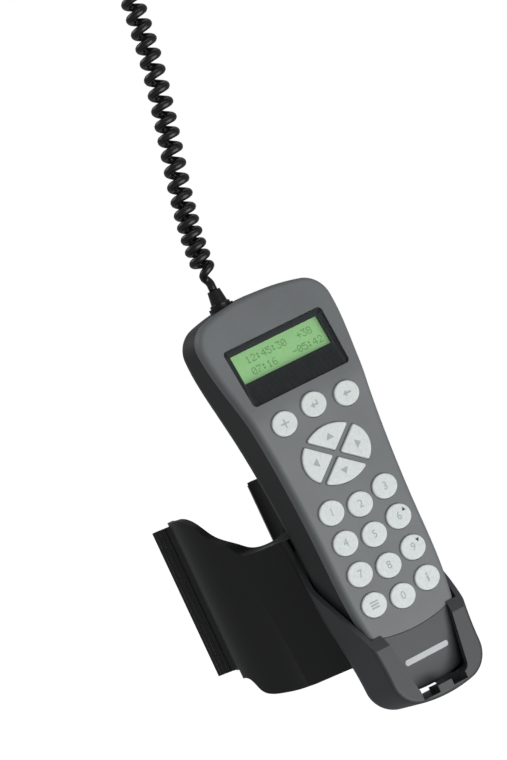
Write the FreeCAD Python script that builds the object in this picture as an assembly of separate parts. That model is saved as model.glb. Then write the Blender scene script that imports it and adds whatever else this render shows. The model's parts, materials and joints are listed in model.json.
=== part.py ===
import FreeCAD, Part
import math
import os

# Hand controller of a telescope mount, held in its cradle on a tripod leg, with its curly cord.
# Row frame, millimetres: the leg runs along Z through the origin, +Z points to the head of the
# controller, and the keys face -Y. The origin is the middle of the leg clamp's bore.
# Controller frame, used by most functions: x across, y depth behind the key face, z above the foot.

V = FreeCAD.Vector

# ---- driving dimensions: where the controller hangs on the leg -----------------------------------
LEG_R = 25.4            # two inch tripod leg
CLAMP_WALL = 3.0
CLAMP_HALF = 48.0       # half height of the clamp, from its front's bottom to its back's top
CLAMP_WRAP = 120.0      # degrees of wall each side of the front
LIP_LENGTH = 13.0       # flared end of the clamp
LIP_LOW = -28.5
CTRL_X = 20.0           # controller centre line beside the leg axis
CTRL_Y = -84.0          # key face in front of the leg axis
CTRL_Z = -68.0          # controller foot below the clamp's middle

# ---- driving dimensions: controller case ---------------------------------------------------------
LENGTH = 199.0
HEAD_HALF = 37.5        # half width at the widest level
HEAD_LEVEL = 183.0
SHOULDER_R = 13.0
FOOT_HALF = 23.0
FOOT_LEVEL = 12.2       # where the foot's corners end
FOOT_CORNER_R = 11.0
SIDE_STATIONS = ((46.0, 26.5), (78.0, 27.7), (114.0, 29.5), (143.0, 32.6), (166.0, 36.2))
LEAN = 10.0             # degrees that the display leans back from the key face
BEND_LEVEL = 146.0
BEND_R = 45.0
WALL = 2.2
FRONT_ROUND = 2.6
BACK_ROUND = 9.5
SEAM_DEPTH = 5.5        # front shell's skirt behind the face
NOSE_DEPTH = 11.0
SEAM_GAP = 0.25
NOSE_MID, NOSE_SIDE = 28.0, 32.5   # height of the nose seam at the middle and at the sides

# ---- driving dimensions: keys ---------------------------------------------------------------------
KEY_W, KEY_H = 13.5, 11.7
KEY_PROUD = 1.3
KEY_TRAVEL = 1.0
KEY_GAP = 0.3
FLANGE = 0.8
PAD_Z = 115.9
PAD_A, PAD_B = 18.8, 14.1
PAD_SPLIT = 2.6         # width of the bars of the cross between the four direction keys
PAD_SPLIT_ANGLE = 37.0
COLUMN = 15.6
ROWS = (92.4, 77.0, 61.2, 45.7)
MIDDLE_DROP = 2.3
BOARD_Y = 5.6           # face of the main board behind the key face
BOARD_T = 1.6
MAT_T = 0.8
PILL_T = 0.3

# ---- driving dimensions: display, in the leaning frame --------------------------------------------
WINDOW_LOW, WINDOW_HIGH = 151.4, 180.6
WINDOW_HALF_LOW, WINDOW_HALF_HIGH = 27.8, 28.4
WINDOW_ROUND = 2.0
VIEW_W, VIEW_H, VIEW_Z = 50.0, 13.4, 170.3

# ---- driving dimensions: cradle --------------------------------------------------------------------
FIT = 0.6               # room between controller and cradle
CRADLE_WALL = 2.6
CRADLE_TOP = 90.0
RAIL_HEAD_W, RAIL_NECK_W = 26.0, 16.0
RAIL_HEAD_D, RAIL_NECK_D = 3.0, 3.4
RAIL_LOW = 27.0
RAIL_FIT = 0.35
SUMP = 3.2              # how far the cradle's floor is lowered for its drain channel
SLOTS = ((-14.0, -4.6), (3.4, 11.6))   # the channel's two mouths in the front lip
SLOT_LOW, SLOT_HIGH = -4.0, 1.2

# ---- driving dimensions: cord ------------------------------------------------------------------------
CORD_OUTER_R = 5.75
WIRE_R = 2.0
CORD_X, CORD_Y = -10.0, 22.5
CORD_Z = 207.5          # where the curls begin
PLUG_W, PLUG_D, PLUG_L = 9.65, 6.6, 14.0


# ==== small helpers ===================================================================================

def place(shape):
    """Moves a shape from the controller frame to the row frame."""
    moved = shape.copy()
    moved.translate(V(CTRL_X, CTRL_Y, CTRL_Z))
    return moved


def lean(shape):
    """Turns a display part, drawn upright, back with the head."""
    turned = shape.copy()
    turned.rotate(V(0, 0, BEND_LEVEL), V(1, 0, 0), -LEAN)
    return turned


def box(x0, x1, y0, y1, z0, z1):
    return Part.makeBox(x1 - x0, y1 - y0, z1 - z0, V(x0, y0, z0))


def rod(radius, start, direction, length):
    return Part.makeCylinder(radius, length, start, direction)


def line(a, b):
    return Part.makeLine(a, b)


def arc(a, mid, b):
    return Part.Arc(a, mid, b).toShape()


def fuse(shapes):
    shapes = list(shapes)
    joined = shapes[0].fuse(shapes[1:]) if len(shapes) > 1 else shapes[0]
    return joined.removeSplitter()


def extrude(edges, along):
    """Solid made by carrying a closed outline along a vector."""
    return Part.Face(Part.Wire(Part.__sortEdges__(edges))).extrude(along)


def polygon(points, along):
    return Part.Face(Part.makePolygon(points + [points[0]])).extrude(along)


def rounded_plate(half_w, low, high, y0, y1, radius, half_high=None):
    """Plate in the XZ plane with round corners; its sides may taper from half_w to half_high."""
    top = half_w if half_high is None else half_high
    plate = polygon([V(-half_w, y0, low), V(half_w, y0, low), V(top, y0, high), V(-top, y0, high)],
                    V(0, y1 - y0, 0))
    corners = [e for e in plate.Edges
               if abs(e.Vertexes[0].Y - e.Vertexes[-1].Y) > 0.9 * (y1 - y0)]
    return plate.makeFillet(radius, corners)


def save(name, shape):
    os.makedirs("parts", exist_ok=True)
    if not shape.isValid():
        print("NOT VALID", name)
    shape.exportStep("parts/%s.step" % name)
    size = shape.BoundBox
    print("%-18s %d solids %8.1f mm3  %s" % (name, len(shape.Solids), shape.Volume, size))


# ==== the controller's outer form =====================================================================

def arched_end(widest, level, apex, corner, y):
    """Right half of an end: a corner arc that starts upright at (widest, level) and runs smoothly
    into a flat arch, whose crown is at x = 0 and z = apex. Gives the two edges and the touching point."""
    sign = 1 if apex > level else -1
    rise = abs(apex - level)
    inset = widest - corner
    arch = (inset ** 2 + rise ** 2 - corner ** 2) / (2 * (rise - corner))

    def on_corner(angle):
        return V(inset + corner * math.cos(angle), y, level + sign * corner * math.sin(angle))

    # the corner's centre, the arch's centre and the touching point are in one line
    angle = math.pi / 2 - math.atan2(inset, arch - rise)
    touch = on_corner(angle)
    corner_edge = arc(V(widest, y, level), on_corner(angle / 2), touch)
    return corner_edge, touch


def outline_edges(grow, y, drop):
    """Front outline of the case, grown outwards by grow: foot arch, tapered sides, flared head, arch.
    The foot can be lowered by drop."""
    widest, foot_half = HEAD_HALF + grow, FOOT_HALF + grow
    top_corner, top_touch = arched_end(widest, HEAD_LEVEL, LENGTH + grow, SHOULDER_R + grow, y)
    foot_corner, foot_touch = arched_end(foot_half, FOOT_LEVEL - drop, -grow - drop, FOOT_CORNER_R + grow, y)
    points = [V(foot_half, y, FOOT_LEVEL - drop)]
    points += [V(half + grow, y, z) for z, half in SIDE_STATIONS]
    points.append(V(widest, y, HEAD_LEVEL))
    side = Part.BSplineCurve()
    side.interpolate(Points=points, InitialTangent=V(0, 0, 1), FinalTangent=V(0, 0, 1))
    right = [foot_corner, side.toShape(), top_corner]
    mirrored = [e.mirror(V(0, 0, 0), V(1, 0, 0)) for e in right]
    foot = arc(V(-foot_touch.x, y, foot_touch.z), V(0, y, -grow - drop), foot_touch)
    top = arc(top_touch, V(0, y, LENGTH + grow), V(-top_touch.x, y, top_touch.z))
    return right + mirrored + [foot, top]


def outline_prism(grow, drop=0.0):
    return extrude(outline_edges(grow, -20.0, drop), V(0, 80.0, 0))


def face_edges(x, shift):
    """Side view of the key face, moved back by shift, from below the foot to above the head."""
    turn = math.radians(LEAN)
    reach = BEND_R * math.tan(turn / 2)
    bottom = V(x, shift + 14.0, -14.0)
    nose = V(x, shift + 2.6, 12.0)
    start = V(x, shift, 36.0)
    low = V(x, shift, BEND_LEVEL - reach)
    mid_angle = turn / 2
    mid = V(x, shift + BEND_R * (1 - math.cos(mid_angle)), low.z + BEND_R * math.sin(mid_angle))
    high = V(x, shift + reach * math.sin(turn), BEND_LEVEL + reach * math.cos(turn))
    end = V(x, shift + (220.0 - BEND_LEVEL) * math.tan(turn), 220.0)
    foot = Part.BSplineCurve()
    foot.interpolate(Points=[bottom, nose, start], FinalTangent=V(0, 0, 1))
    return [foot.toShape(), line(start, low), arc(low, mid, high), line(high, end)], bottom, end


def front_band(shift, y_front=-30.0, half=60.0):
    """Everything in front of the face moved back by shift."""
    edges, bottom, end = face_edges(-half, shift)
    near_low = V(-half, y_front, bottom.z)
    near_high = V(-half, y_front, end.z)
    return extrude(edges + [line(near_low, bottom), line(near_low, near_high), line(near_high, end)],
                   V(2 * half, 0, 0))


def back_band(grow, half=60.0):
    """Everything in front of the back of the case, whose belly swells slowly towards the head."""
    points = [V(-half, 27.0 + grow, -14.0), V(-half, 29.6 + grow, 40.0), V(-half, 31.0 + grow, 95.0),
              V(-half, 32.6 + grow, 150.0), V(-half, 33.0 + grow, 220.0)]
    back = Part.BSplineCurve()
    back.interpolate(points)
    a, b = points[0], points[-1]
    return extrude([back.toShape(), line(a, V(-half, -40, a.z)), line(V(-half, -40, a.z), V(-half, -40, b.z)),
                    line(V(-half, -40, b.z), b)], V(2 * half, 0, 0))


def middle_of(edge):
    return edge.valueAt((edge.FirstParameter + edge.LastParameter) / 2)


def rounded(form, front_round, back_round, front_limit, top_limit=1000.0):
    """Rounds the back outline of a case form, and then its front outline, whose edges lie wholly in
    front of y = front_limit. Edges above top_limit stay sharp, and a round of 0 is left out."""
    below = [e for e in form.Edges if any(v.Z < top_limit for v in e.Vertexes)]
    back = [e for e in below if all(p.y > 24 for p in [v.Point for v in e.Vertexes] + [middle_of(e)])]
    front = [middle_of(e) for e in below
             if all(p.y < front_limit for p in [v.Point for v in e.Vertexes] + [middle_of(e)])]
    form = form.makeFillet(back_round, back)
    if front_round:
        chosen = [e for e in form.Edges if any((middle_of(e) - m).Length < 0.05 for m in front)]
        form = form.makeFillet(front_round, chosen)
    return form


def case_form(grow, front_round, back_round):
    """The whole rounded case, grown outwards by grow."""
    form = outline_prism(grow).common(back_band(grow)).cut(front_band(-grow))
    return rounded(form, front_round, back_round, 16.0)


# ==== openings and keys ================================================================================

OVAL_CORNER = 1.02      # side radius of an oval, against the radius of the ellipse's end

def oval(x, z, a, b, y0, y1):
    """Oval column along y of four arcs, a half width across and b half height."""
    upper, touch = arched_end(a, 0.0, b, OVAL_CORNER * b * b / a, 0.0)
    crown = arc(touch, V(0, 0, b), V(-touch.x, 0, touch.z))
    edges = [upper, upper.mirror(V(0, 0, 0), V(1, 0, 0)), crown]
    edges += [e.mirror(V(0, 0, 0), V(0, 0, 1)) for e in edges]
    for edge in edges:
        edge.translate(V(x, y0, z))
    return extrude(edges, V(0, y1 - y0, 0))


def wedge(side, grow, y0, y1):
    """One quarter of the direction pad: the oval cut by the two bars of the cross."""
    pad = oval(0, PAD_Z, PAD_A + grow, PAD_B + grow, y0, y1)
    for sign in (-1, 1):
        half = PAD_SPLIT / 2 - grow
        bar = box(-40, 40, y0 - 1, y1 + 1, PAD_Z - half, PAD_Z + half)
        bar.rotate(V(0, 0, PAD_Z), V(0, 1, 0), sign * PAD_SPLIT_ANGLE)
        pad = pad.cut(bar)
    want = {"right": V(1, 0, 0), "left": V(-1, 0, 0), "up": V(0, 0, 1), "down": V(0, 0, -1)}[side]
    middle = V(0, (y0 + y1) / 2, PAD_Z)
    quarter = max(pad.Solids, key=lambda s: (s.CenterOfMass - middle).dot(want))
    columns = [e for e in quarter.Edges
               if abs(e.Vertexes[0].Y - e.Vertexes[-1].Y) > 0.9 * (y1 - y0)]
    return quarter.makeFillet(0.9 + grow / 2, columns)


def key_places():
    """Name and centre of every oval key: three menu keys in an arc, then four rows of three."""
    places = {"key_align": (-18.1, 138.8), "key_enter": (0.0, 140.9), "key_undo": (18.1, 138.8)}
    names = (("key_1", "key_2", "key_3"), ("key_4", "key_5", "key_6"),
             ("key_7", "key_8", "key_9"), ("key_menu", "key_0", "key_info"))
    for z, row in zip(ROWS, names):
        for column, name in enumerate(row):
            drop = MIDDLE_DROP if column == 1 else 0.0
            places[name] = ((column - 1) * COLUMN, z - drop)
    return places


FLANGE_TOP, FLANGE_BOTTOM = 2.8, 3.7


def key_column(name, grow, y0, y1):
    """The column of one key's outline, grown by grow."""
    sides = {"key_up": "up", "key_down": "down", "key_left": "left", "key_right": "right"}
    if name in sides:
        return wedge(sides[name], grow, y0, y1)
    x, z = key_places()[name]
    return oval(x, z, KEY_W / 2 + grow, KEY_H / 2 + grow, y0, y1)


def key_names():
    return list(key_places()) + ["key_up", "key_down", "key_left", "key_right"]


def make_key(name):
    """A key: a domed cap that stands through the face, and the flange that holds it in."""
    cap = key_column(name, 0.0, -KEY_PROUD, FLANGE_TOP + 0.2)
    rim = [e for e in cap.Edges if all(abs(v.Y + KEY_PROUD) < 1e-4 for v in e.Vertexes)]
    cap = cap.makeFillet(0.7, rim)
    return fuse([cap, key_column(name, FLANGE, FLANGE_TOP, FLANGE_BOTTOM)])


# ==== case parts =======================================================================================

def nose_prism(drop):
    """Everything below the sagging seam between the face and the nose cover."""
    sag = NOSE_SIDE - NOSE_MID
    radius = (26.0 ** 2 + sag ** 2) / (2 * sag)
    half = 45.0
    rise = radius - math.sqrt(radius ** 2 - half ** 2)
    left, mid, right = (V(-half, -30, NOSE_MID + rise - drop), V(0, -30, NOSE_MID - drop),
                        V(half, -30, NOSE_MID + rise - drop))
    low_left, low_right = V(-half, -30, -30), V(half, -30, -30)
    return extrude([arc(left, mid, right), line(left, low_left), line(low_left, low_right),
                    line(low_right, right)], V(0, 90, 0))


SCREWS = [(-14.0, 19.5), (14.0, 19.5), (-18.6, 36.0), (18.6, 36.0), (-24.0, 185.5), (24.0, 185.5)]
POST_END = 12.0         # posts of the front parts end this far behind the key face
HEAD_POST_END = 17.0
SCREW_SEAT = 26.0       # seat of the screw heads behind the key face
BOARD_POSTS = [(-7.8, 84.0), (7.8, 84.0), (-23.0, 127.5), (23.0, 127.5)]
DISPLAY_POSTS = [(-28.6, 157.0), (28.6, 157.0), (-28.6, 178.0), (28.6, 178.0)]


def post_end(z):
    return HEAD_POST_END if z > BEND_LEVEL else POST_END


def tube(x, z, y0, y1, r_out, r_in):
    body = rod(r_out, V(x, y0, z), V(0, 1, 0), y1 - y0)
    return body.cut(rod(r_in, V(x, y0 - 1, z), V(0, 1, 0), y1 - y0 + 2))


def make_front_shell(wall, inner):
    """Grey face: shallow shell with the display window's ledge, the key holes and its screw posts."""
    shell = wall.common(front_band(SEAM_DEPTH)).cut(nose_prism(0))
    ledge = lean(rounded_plate(WINDOW_HALF_LOW + 3.4, WINDOW_LOW - 2.0, WINDOW_HIGH + 2.0, 1.2, 3.2, 3.0,
                               WINDOW_HALF_HIGH + 3.0)).common(inner)
    posts = [rod(2.6, V(x, 1.5, z), V(0, 1, 0), POST_END - 1.5) for x, z in SCREWS[2:4]]
    posts += [rod(3.0, V(x, 8.5, z), V(0, 1, 0), HEAD_POST_END - 8.5) for x, z in SCREWS[4:]]
    posts += [rod(1.9, V(x, 1.5, z), V(0, 1, 0), BOARD_Y - 1.5) for x, z in BOARD_POSTS]
    posts += [lean(rod(1.7, V(x, 2.5, z), V(0, 1, 0), 8.2 - 2.5)) for x, z in DISPLAY_POSTS]
    shell = fuse([shell, ledge] + posts)
    cuts = [rod(1.3, V(x, post_end(z) - 6.5, z), V(0, 1, 0), 8.0) for x, z in SCREWS[2:]]
    cuts += [rod(0.8, V(x, 2.6, z), V(0, 1, 0), 6.0) for x, z in BOARD_POSTS]
    cuts += [lean(rod(0.8, V(x, 4.2, z), V(0, 1, 0), 6.0)) for x, z in DISPLAY_POSTS]
    cuts += [key_column(name, KEY_GAP, -6.0, 4.6) for name in key_names()]
    cuts.append(lean(rounded_plate(WINDOW_HALF_LOW + 0.15, WINDOW_LOW - 0.15, WINDOW_HIGH + 0.15,
                                   -6.0, 1.7, WINDOW_ROUND + 0.15, WINDOW_HALF_HIGH + 0.15)))
    cuts.append(lean(rounded_plate(VIEW_W / 2 + 1.4, VIEW_Z - VIEW_H / 2 - 1.2, VIEW_Z + VIEW_H / 2 + 1.2,
                                   0.0, 6.0, 1.0)))
    return shell.cut(cuts)


def make_nose_cover(wall):
    """Charcoal nose below the face, with its two screw posts and the recess for the badge."""
    nose = wall.common(nose_prism(SEAM_GAP)).common(front_band(NOSE_DEPTH))
    posts = [rod(3.0, V(x, 3.0, z), V(0, 1, 0), POST_END - 3.0) for x, z in SCREWS[:2]]
    nose = fuse([nose] + posts)
    cuts = [rod(1.3, V(x, POST_END - 6.0, z), V(0, 1, 0), 8.0) for x, z in SCREWS[:2]]
    return nose.cut(cuts + [badge_column(-4.0, 8.0).common(front_band(0.5))])


def badge_column(y0, y1):
    """Outline of the plain bar on the nose."""
    return rounded_plate(12.5, 13.0, 15.8, y0, y1, 1.35)


def make_nose_badge():
    return badge_column(-4.0, 8.0).common(front_band(0.5)).cut(front_band(-0.25))


def make_back_shell(wall, inner):
    """Charcoal back: deep shell with a tongue inside the seam, screw tubes, cord boss and label recess."""
    nose_room = nose_prism(-SEAM_GAP).common(front_band(NOSE_DEPTH + SEAM_GAP))
    shell = wall.cut([front_band(SEAM_DEPTH + SEAM_GAP), nose_room])
    ring = outline_prism(-WALL).cut(outline_prism(-WALL - 0.8))
    tongue = ring.common(front_band(SEAM_DEPTH + 2.5)).cut([front_band(SEAM_DEPTH - 1.6), nose_prism(-1.0)])
    adds = [tongue]
    for x, z in SCREWS:
        adds.append(rod(3.4, V(x, post_end(z) + 0.2, z), V(0, 1, 0), 40.0))
    adds.append(rod(6.0, V(CORD_X, CORD_Y, 191.0), V(0, 0, 1), 8.6))
    boss_room = case_form(0.0, 0, BACK_ROUND)
    trimmed = [adds[0]] + [a.common(boss_room) for a in adds[1:-1]] + [adds[-1]]
    shell = fuse([shell] + trimmed)
    cuts = []
    for x, z in SCREWS:
        cuts.append(rod(1.6, V(x, 0, z), V(0, 1, 0), 60.0))
        cuts.append(rod(2.9, V(x, SCREW_SEAT, z), V(0, 1, 0), 20.0))
    cuts.append(rod(3.6, V(CORD_X, CORD_Y, 185.0), V(0, 0, 1), 30.0))
    label = rounded_plate(17.0, 92.0, 134.0, 20.0, 50.0, 3.0)
    cuts.append(label.cut(back_band(-0.5)))
    return shell.cut(cuts)


def make_case_screws():
    """Six self-tapping screws that hold the face and the nose to the back."""
    screws = []
    for x, z in SCREWS:
        start = post_end(z) - 5.5
        head = rod(2.5, V(x, SCREW_SEAT, z), V(0, 1, 0), 1.8)
        shank = rod(1.3, V(x, start, z), V(0, 1, 0), SCREW_SEAT - start + 0.1)
        screw = fuse([head, shank])
        for angle in (0, 90):
            slot = box(x - 1.5, x + 1.5, SCREW_SEAT + 0.9, SCREW_SEAT + 3, z - 0.3, z + 0.3)
            slot.rotate(V(x, 0, z), V(0, 1, 0), angle)
            screw = screw.cut(slot)
        screws.append(screw)
    return Part.makeCompound(screws)


# ==== display ==========================================================================================

def make_display():
    """Window, mask and display module, drawn upright and leaned back with the head."""
    lens = rounded_plate(WINDOW_HALF_LOW, WINDOW_LOW, WINDOW_HIGH, 0.1, 1.3, WINDOW_ROUND, WINDOW_HALF_HIGH)
    rim = [e for e in lens.Edges if all(abs(v.Y - 0.1) < 1e-4 for v in e.Vertexes)]
    lens = lens.makeChamfer(0.3, rim)
    mask = rounded_plate(WINDOW_HALF_LOW, WINDOW_LOW, WINDOW_HIGH, 1.3, 1.7, WINDOW_ROUND, WINDOW_HALF_HIGH)
    mask = mask.cut(box(-VIEW_W / 2 - 0.4, VIEW_W / 2 + 0.4, 0, 3,
                        VIEW_Z - VIEW_H / 2 - 0.4, VIEW_Z + VIEW_H / 2 + 0.4))
    frame = box(-26.6, 26.6, 3.4, 8.2, VIEW_Z - 13.0, VIEW_Z + 9.6)
    frame = frame.cut([box(-26.0, 26.0, 4.0, 9.0, VIEW_Z - 12.4, VIEW_Z + 9.0),
                       box(-VIEW_W / 2 - 0.6, VIEW_W / 2 + 0.6, 3.0, 5.0,
                           VIEW_Z - VIEW_H / 2 - 0.6, VIEW_Z + VIEW_H / 2 + 0.6)])
    glass = box(-25.9, 25.9, 4.0, 6.0, VIEW_Z - 12.3, VIEW_Z + 8.9)
    backlight = box(-25.6, 25.6, 6.0, 8.2, VIEW_Z - 12.0, VIEW_Z + 8.6)
    board = box(-30.6, 30.6, 8.2, 9.4, VIEW_Z - 15.8, VIEW_Z + 10.2)
    board = board.cut([rod(1.0, V(x, 0, z), V(0, 1, 0), 20.0) for x, z in DISPLAY_POSTS])
    parts = {"display_lens": lens, "display_mask": mask, "display_frame": frame,
             "display_glass": glass, "display_backlight": backlight, "display_board": board}
    return {name: lean(shape) for name, shape in parts.items()}


# ==== electronics inside the grip ======================================================================

def make_main_board():
    board = rounded_plate(20.3, 39.6, 143.0, BOARD_Y, BOARD_Y + BOARD_T, 2.0, 26.8)
    return board.cut([rod(1.0, V(x, 0, z), V(0, 1, 0), 20.0) for x, z in BOARD_POSTS])


def make_keypad_mat():
    """Silicone sheet under the keys, open for the board's posts and for the contact pills."""
    mat = rounded_plate(20.3, 39.6, 143.0, BOARD_Y - MAT_T, BOARD_Y, 2.0, 26.8)
    cuts = [rod(2.2, V(x, 0, z), V(0, 1, 0), 20.0) for x, z in BOARD_POSTS]
    cuts += [rod(2.0, V(key_centre(n)[0], BOARD_Y - PILL_T, key_centre(n)[1]), V(0, 1, 0), 2.0)
             for n in key_names()]
    return mat.cut(cuts)


def key_centre(name):
    """Centre of a key's contact on the board."""
    reach = {"key_up": (0, 9.2), "key_down": (0, -9.2), "key_left": (-12.4, 0), "key_right": (12.4, 0)}
    if name in reach:
        return reach[name][0], PAD_Z + reach[name][1]
    return key_places()[name]


def make_key_contacts():
    """Carbon pills in the mat, one over each key's contact on the board."""
    return Part.makeCompound([rod(2.0, V(key_centre(n)[0], BOARD_Y - PILL_T, key_centre(n)[1]), V(0, 1, 0), PILL_T)
                              for n in key_names()])


def make_board_chips():
    """Processor, memory, clock crystal, level converter and regulator on the back of the board."""
    back = BOARD_Y + BOARD_T
    chips = [box(-8, 8, back, back + 1.8, 98, 114), box(-21, -11, back, back + 1.6, 78, 88),
             box(11, 19, back, back + 1.6, 70, 82), box(12, 17, back, back + 2.6, 104, 115),
             box(-16, -9, back, back + 4.5, 60, 67)]
    return Part.makeCompound(chips)


def make_cord_header():
    """Shrouded six-way header where the inner lead plugs in."""
    back = BOARD_Y + BOARD_T
    body = box(-10.5, 6.5, back, back + 7.0, 122, 128)
    return body.cut(box(-9.6, 5.6, back + 1.5, back + 8.0, 122.9, 127.1))


def make_lead_plug():
    """Housing on the end of the inner lead, seated in the header."""
    back = BOARD_Y + BOARD_T
    return box(-9.3, 5.3, back + 1.5, back + 9.5, 123.1, 126.9)


def make_display_ribbon():
    """Flat ribbon from the display board to the main board."""
    back = BOARD_Y + BOARD_T
    inner = [V(-12, 11.7, 157.5), V(-12, 13.8, 153.0), V(-12, 13.2, 146.0), V(-12, back + 2.6, 141.0),
             V(-12, back + 0.5, 139.6)]
    outer = [p + V(0, 0.25, -0.45) for p in inner]
    return polygon(inner + outer[::-1], V(24, 0, 0))


def make_board_screws():
    screws = []
    for x, z in BOARD_POSTS:
        back = BOARD_Y + BOARD_T
        screws.append(fuse([rod(1.7, V(x, back, z), V(0, 1, 0), 1.1),
                            rod(0.8, V(x, 3.0, z), V(0, 1, 0), back - 2.9)]))
    for x, z in DISPLAY_POSTS:
        screws.append(lean(fuse([rod(1.7, V(x, 9.4, z), V(0, 1, 0), 1.1),
                                 rod(0.8, V(x, 4.8, z), V(0, 1, 0), 4.7)])))
    return Part.makeCompound(screws)


# ==== cord ==============================================================================================

CORD_ROUTE = [V(CORD_X, CORD_Y, CORD_Z), V(CORD_X, CORD_Y, 226.0), V(-5.2, 22.2, 252.0), V(3.2, 21.3, 284.0),
              V(10.4, 20.4, 315.0), V(13.8, 19.8, 343.0), V(17.6, 19.3, 369.5)]
TAIL_LENGTH = 10.0
BOOT_LENGTH = 12.0


def run_tube(points, radius, label):
    """Tube along straight runs joined by tangent arcs, each as large as its two runs allow."""
    edges = []
    last = points[0]
    radii = []
    for before, corner, after in zip(points, points[1:], points[2:]):
        into, out = (corner - before), (after - corner)
        shorter = min(into.Length, out.Length)
        turn = into.getAngle(out)
        back = 0.45 * shorter
        radii.append(back / math.tan(turn / 2))
        into.normalize()
        out.normalize()
        start, end = corner - into * back, corner + out * back
        inward = out - into
        inward.normalize()
        mid = corner + inward * (radii[-1] / math.cos(turn / 2) - radii[-1])
        edges += [line(last, start), Part.Arc(start, mid, end).toShape()]
        last = end
    edges.append(line(last, points[-1]))
    wire = Part.Wire(edges)
    first = points[1] - points[0]
    ring = Part.Wire(Part.makeCircle(radius, points[0], first))
    solid = wire.makePipeShell([ring], True, True)
    expect = math.pi * radius ** 2 * wire.Length
    print("%s: radii %s mm, length %.1f mm, volume / (section x length) = %.4f"
          % (label, [round(r) for r in radii], wire.Length, solid.Volume / expect))
    return solid


def cord_end():
    """The last point of the curls and the direction in which the cord leaves them."""
    direction = CORD_ROUTE[-1] - CORD_ROUTE[-2]
    direction.normalize()
    return CORD_ROUTE[-1], direction


def at_cord_end(shape, along):
    """Puts a shape drawn upright at the origin onto the cord, along beyond the end of the curls."""
    end, direction = cord_end()
    turned = shape.copy()
    turned.Placement = FreeCAD.Placement(end + direction * along, FreeCAD.Rotation(V(0, 0, 1), direction))
    return turned


def make_strain_relief():
    """Flanged, tapered sleeve in the end wall of the head."""
    profile = [V(2.05, 0, 189.4), V(4.9, 0, 189.4), V(4.9, 0, 191.0), V(3.55, 0, 191.0), V(3.55, 0, 199.6),
               V(4.9, 0, 199.6), V(4.9, 0, 200.8), V(4.0, 0, 201.2), V(3.1, 0, CORD_Z), V(2.05, 0, CORD_Z)]
    face = Part.Face(Part.makePolygon(profile + [profile[0]]))
    sleeve = face.revolve(V(0, 0, 0), V(0, 0, 1), 360)
    sleeve.translate(V(CORD_X, CORD_Y, 0))
    return sleeve


def make_inner_lead():
    """The cord's straight end, from the curls through the sleeve and down to the header."""
    points = [V(CORD_X, CORD_Y, CORD_Z), V(CORD_X, CORD_Y, 176.0), V(CORD_X + 2, CORD_Y - 0.5, 150.0),
              V(-2.0, 20.5, 132.0), V(-2.0, BOARD_Y + BOARD_T + 9.5, 125.0)]
    return run_tube(points, WIRE_R - 0.05, "inner lead").cut(make_lead_plug())


def make_plug_parts():
    """Straight tail, boot and six-way modular plug with its latch and contacts."""
    tail = rod(WIRE_R, V(0, 0, 0), V(0, 0, 1), TAIL_LENGTH)
    boot = Part.makeCone(2.6, 3.3, BOOT_LENGTH)
    boot = boot.cut([rod(WIRE_R, V(0, 0, -1), V(0, 0, 1), 1.5)])
    body = box(-PLUG_W / 2, PLUG_W / 2, -PLUG_D / 2, PLUG_D / 2, 0, PLUG_L)
    uprights = [e for e in body.Edges if abs(e.Vertexes[0].Z - e.Vertexes[-1].Z) > PLUG_L - 1]
    body = body.makeFillet(0.6, uprights)
    body = body.cut([box(x - 0.3, x + 0.3, -PLUG_D / 2 - 1, -PLUG_D / 2 + 1.4, PLUG_L - 5.5, PLUG_L + 1)
                     for x in contact_places()])
    latch = polygon([V(-2.6, PLUG_D / 2, PLUG_L - 1.0), V(-2.6, PLUG_D / 2 + 1.0, PLUG_L - 1.0),
                     V(-2.6, PLUG_D / 2 + 3.4, 1.5), V(-2.6, PLUG_D / 2 + 2.6, 1.0),
                     V(-2.6, PLUG_D / 2, PLUG_L - 4.0)], V(5.2, 0, 0))
    contacts = [box(x - 0.3, x + 0.3, -PLUG_D / 2 + 0.2, -PLUG_D / 2 + 1.4, PLUG_L - 5.5, PLUG_L - 0.4)
                for x in contact_places()]
    plug_at = TAIL_LENGTH + BOOT_LENGTH
    return {"cord_tail": at_cord_end(tail, 0), "plug_boot": at_cord_end(boot, TAIL_LENGTH - 0.5),
            "plug_body": at_cord_end(fuse([body, latch]), plug_at - 0.5),
            "plug_contacts": at_cord_end(Part.makeCompound(contacts), plug_at - 0.5)}


def contact_places():
    return [1.02 * (i - 2.5) for i in range(6)]


# ==== cradle and leg clamp ==============================================================================

RAIL_FACE = 34.4        # the back of the cradle, behind the key face
CLAMP_FACE = 35.4       # the face of the clamp's channel
POST_DEPTH = 6.0        # the post between the channel's mouths, behind the key face


def cradle_form(grow, front_round, back_round, drop=0.0):
    """The case's outline and back, grown by grow, with a flat front; the foot is lowered by drop."""
    form = outline_prism(grow, drop).common(back_band(grow)).common(box(-60, 60, -grow, 60, -20, 130))
    return rounded(form, front_round, back_round, 1.0, 129.0)


def rim_cut():
    """What the cradle's sloping rim leaves open: the side view above a curve from the claws to the back."""
    half = 60.0
    points = [V(-half, -4.0, 24.0), V(-half, 3.2, 38.0), V(-half, 13.0, 50.5), V(-half, 23.0, 62.0),
              V(-half, 31.0, 76.0), V(-half, 36.0, CRADLE_TOP)]
    rim = Part.BSplineCurve()
    rim.interpolate(points)
    a, b = points[0], points[-1]
    far = [V(-half, 80, CRADLE_TOP), V(-half, 80, 240), V(-half, -40, 240), V(-half, -40, 24.0)]
    chain = [rim.toShape(), line(b, far[0])] + [line(p, q) for p, q in zip(far, far[1:])] + [line(far[-1], a)]
    return extrude(chain, V(2 * half, 0, 0))


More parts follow.
